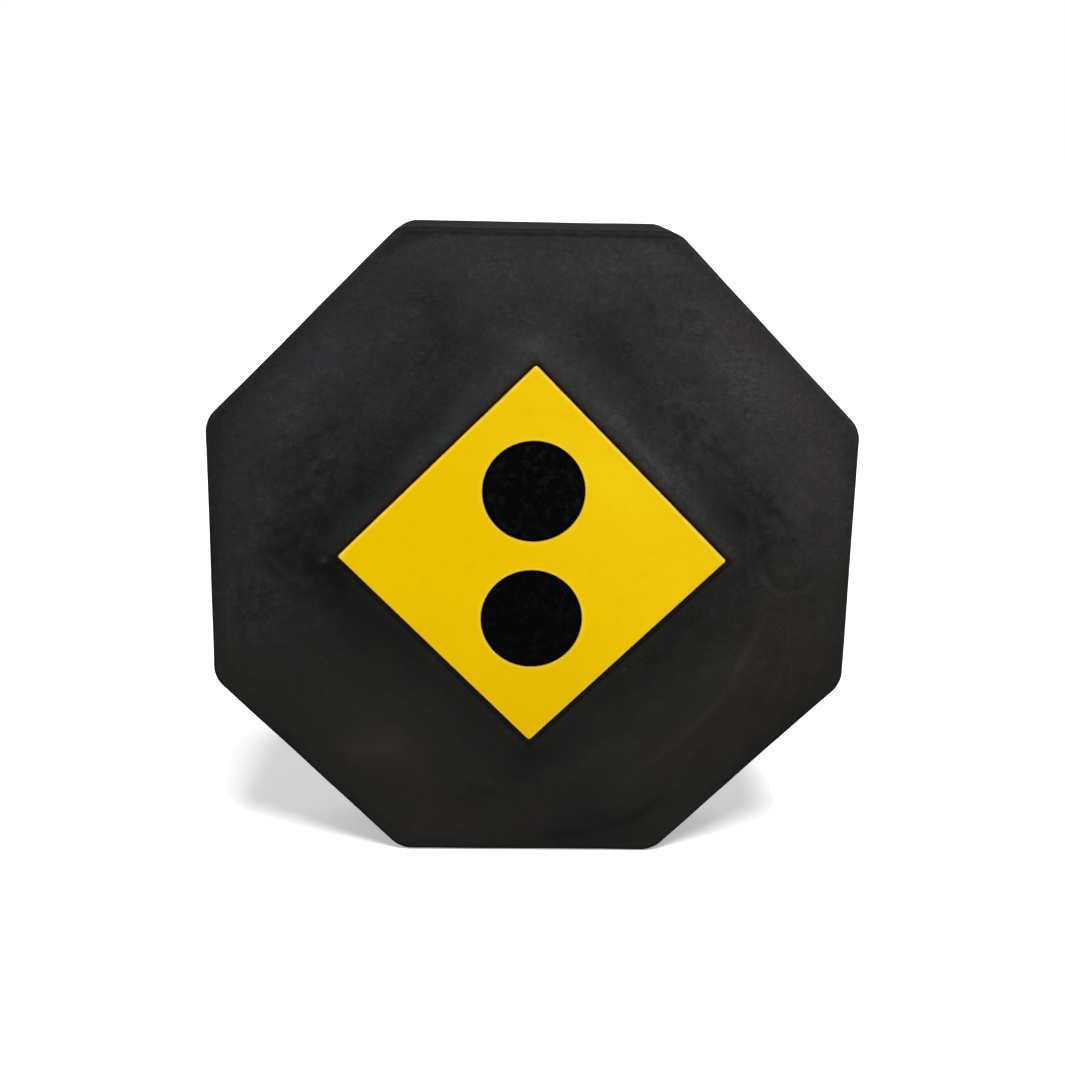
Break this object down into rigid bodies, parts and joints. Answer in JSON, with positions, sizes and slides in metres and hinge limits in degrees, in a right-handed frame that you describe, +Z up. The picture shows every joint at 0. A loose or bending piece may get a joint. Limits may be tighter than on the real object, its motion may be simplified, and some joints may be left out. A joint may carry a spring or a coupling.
{
  "type": "archery target boss",
  "caption": "Free-standing octagonal foam block with a tapered square core set on its corner, whose yellow face carries round aiming spots and which lifts out of the front for replacement.",
  "frame": {"origin": "middle of the bottom flat that the boss stands on, half-way through its depth", "axes": "+Z up, -Y out of the face that is shot at, +X to the right of someone looking at that face"},
  "size_m": [0.6, 0.15, 0.6],
  "materials": {
    "block_foam": "cast polyurethane foam with a closed satin skin, near black, faintly mottled and scuffed",
    "core_foam": "cast foam with a matt skin, near black",
    "yellow_face": "smooth satin yellow coat, faintly mottled",
    "aiming_spot": "matt deep black with a fine granular texture"
  },
  "bodies": {
    "block": {"body_block": "block_foam"},
    "core": {"core_plug": "core_foam", "core_face": "yellow_face", "upper_aiming_spot": "aiming_spot", "lower_aiming_spot": "aiming_spot"}
  },
  "joints": [
    {"name": "core_slide", "type": "slide", "parent": "block", "child": "core", "axis": [0, -1, 0], "range_m": [0, 0.165]}
  ]
}
